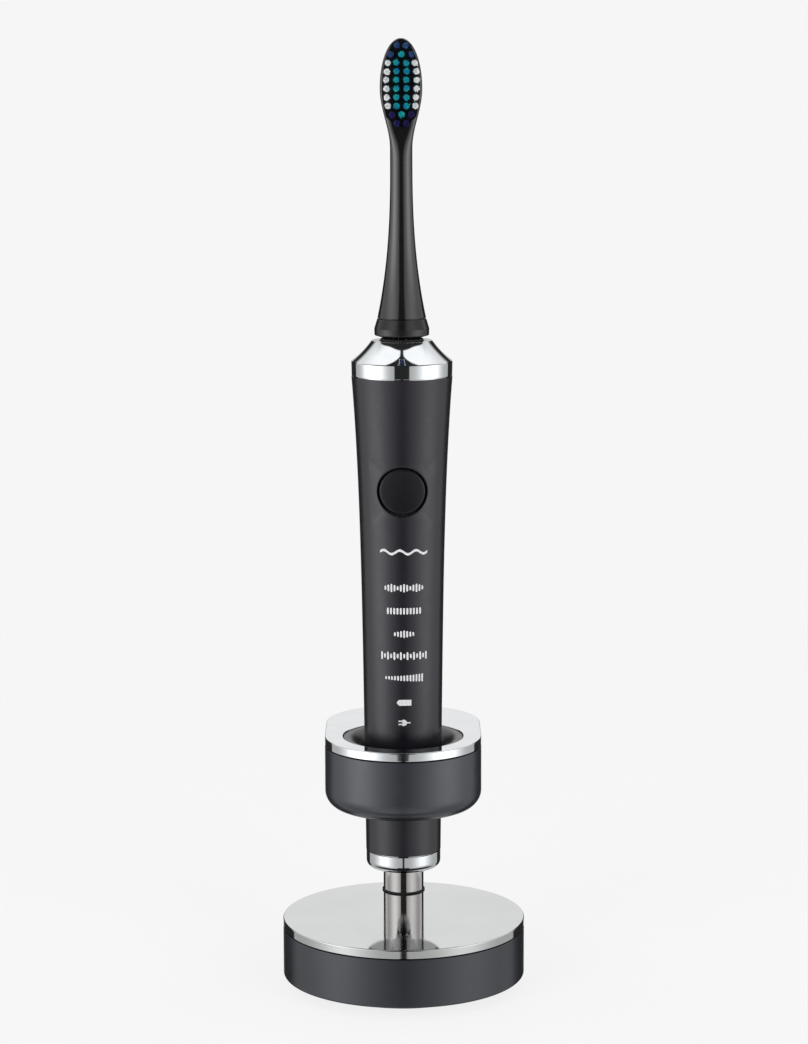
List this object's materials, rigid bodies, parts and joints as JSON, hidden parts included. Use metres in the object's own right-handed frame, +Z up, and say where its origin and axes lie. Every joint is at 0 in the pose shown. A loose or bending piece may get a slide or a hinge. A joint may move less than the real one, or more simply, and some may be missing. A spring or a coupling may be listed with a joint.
{
  "type": "electric toothbrush on charger",
  "caption": "Sonic toothbrush with a tapered handle and pull-off brush head, hanging in the oval ring of a pole-mounted charging stand on a weighted round base.",
  "frame": {"origin": "centre of the round base, on the floor, where the foot pad rests", "axes": "+Z up along the handle; the front with the button, marks and bristles faces -Y; +X is to the right seen from the front"},
  "size_m": [0.07, 0.0848, 0.2718],
  "materials": {
    "satin_black": "satin",
    "satin_charcoal": "satin",
    "gloss_black": "gloss",
    "inner_plastic": "moulded",
    "clear_plastic": "clear lamp body",
    "rubber": "matt",
    "chrome": "mirror polish",
    "steel": "fine brushed",
    "cast_iron": "as cast",
    "ferrite": "sintered",
    "copper": "enamelled wire",
    "circuit_green": "solder mask",
    "cell_wrap": "shrink wrap",
    "white_bristle": "nylon filament",
    "teal_bristle": "nylon filament",
    "navy_bristle": "nylon filament"
  },
  "bodies": {
    "stand": {"base_shell": "satin_charcoal", "base_top_plate": "chrome", "base_weight": "cast_iron", "base_cover": "inner_plastic", "foot_pad": "rubber", "power_inlet": "inner_plastic", "inlet_pin": "steel", "base_screw_1": "steel", "base_screw_2": "steel", "base_screw_3": "steel", "pole": "steel", "pole_gasket": "rubber", "pole_foot_plug": "inner_plastic", "pole_head_plug": "inner_plastic", "pole_foot_screw": "steel", "pole_head_screw": "steel", "inner_lead": "rubber", "charger_body": "satin_charcoal", "charger_top_plate": "chrome", "charger_liner": "satin_charcoal", "primary_coil": "copper", "charger_board": "circuit_green", "board_screw_left": "steel", "board_screw_right": "steel"},
    "handle": {"handle_housing": "satin_black", "bottom_cap": "chrome", "bottom_seal": "rubber", "shoulder_cap": "chrome", "shaft_seal": "rubber", "chassis": "inner_plastic", "battery_cell": "cell_wrap", "circuit_board": "circuit_green", "tact_switch": "steel", "lamp_1": "clear_plastic", "lamp_2": "clear_plastic", "lamp_3": "clear_plastic", "lamp_4": "clear_plastic", "lamp_5": "clear_plastic", "lamp_6": "clear_plastic", "lamp_7": "clear_plastic", "button_seal": "rubber", "charging_core": "ferrite", "charging_coil": "copper", "stator_yoke": "steel", "stator_coil": "copper", "drive_bracket": "inner_plastic"},
    "button": {"button_cap": "satin_black"},
    "flexure": {"flexure_ring": "steel"},
    "armature": {"drive_shaft": "steel", "armature_yoke": "steel", "magnet_left": "ferrite", "magnet_right": "ferrite"},
    "brush_head": {"brush_body": "gloss_black", "brush_ring": "gloss_black", "shaft_clip": "steel", "tufts_outer_left": "white_bristle", "tufts_outer_right": "white_bristle", "tufts_centre": "teal_bristle", "tufts_tip": "navy_bristle", "tufts_heel": "navy_bristle"}
  },
  "joints": [
    {"name": "handle_lift", "type": "slide", "parent": "stand", "child": "handle", "axis": [0, 0, 1], "range_m": [0, 0.06]},
    {"name": "button_press", "type": "slide", "parent": "handle", "child": "button", "axis": [0, 1, 0], "range_m": [0, 0.0006], "stiffness_N_per_m": 800},
    {"name": "tap_swing", "type": "hinge", "parent": "handle", "child": "flexure", "pos_m": [0, 0.009, 0.1585], "axis": [1, 0, 0], "range_deg": [-0.4, 0.4], "stiffness_Nm_per_rad": 1},
    {"name": "sweep_swing", "type": "hinge", "parent": "flexure", "child": "armature", "pos_m": [0, 0.009, 0.1585], "axis": [0, 1, 0], "range_deg": [-0.8, 0.8], "stiffness_Nm_per_rad": 1},
    {"name": "brush_pull", "type": "slide", "parent": "armature", "child": "brush_head", "axis": [0, 0, 1], "range_m": [0, 0.024]}
  ]
}
